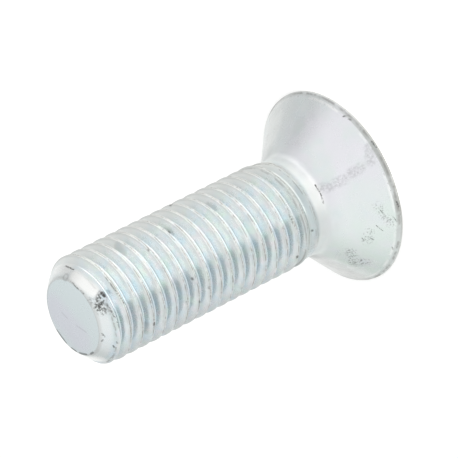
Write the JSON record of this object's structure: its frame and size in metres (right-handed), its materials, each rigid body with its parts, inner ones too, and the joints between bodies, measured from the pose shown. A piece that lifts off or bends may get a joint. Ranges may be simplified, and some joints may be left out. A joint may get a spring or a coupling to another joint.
{
  "type": "countersunk socket screw",
  "caption": "Countersunk screw with a flat conical head, a hexagonal drive socket sunk into the head, and a metric thread up to a short plain neck.",
  "frame": {"origin": "centre of the head's flat top, which the screw stands on", "axes": "+Z along the screw's axis from the head to the tip; X points at a flat of the hexagonal socket"},
  "size_m": [0.0356, 0.0356, 0.0588],
  "materials": {
    "zinc": "bright zinc plate with a faint blue-green tint, lightly scratched"
  },
  "bodies": {
    "root": {"screw": "zinc"}
  },
  "joints": []
}
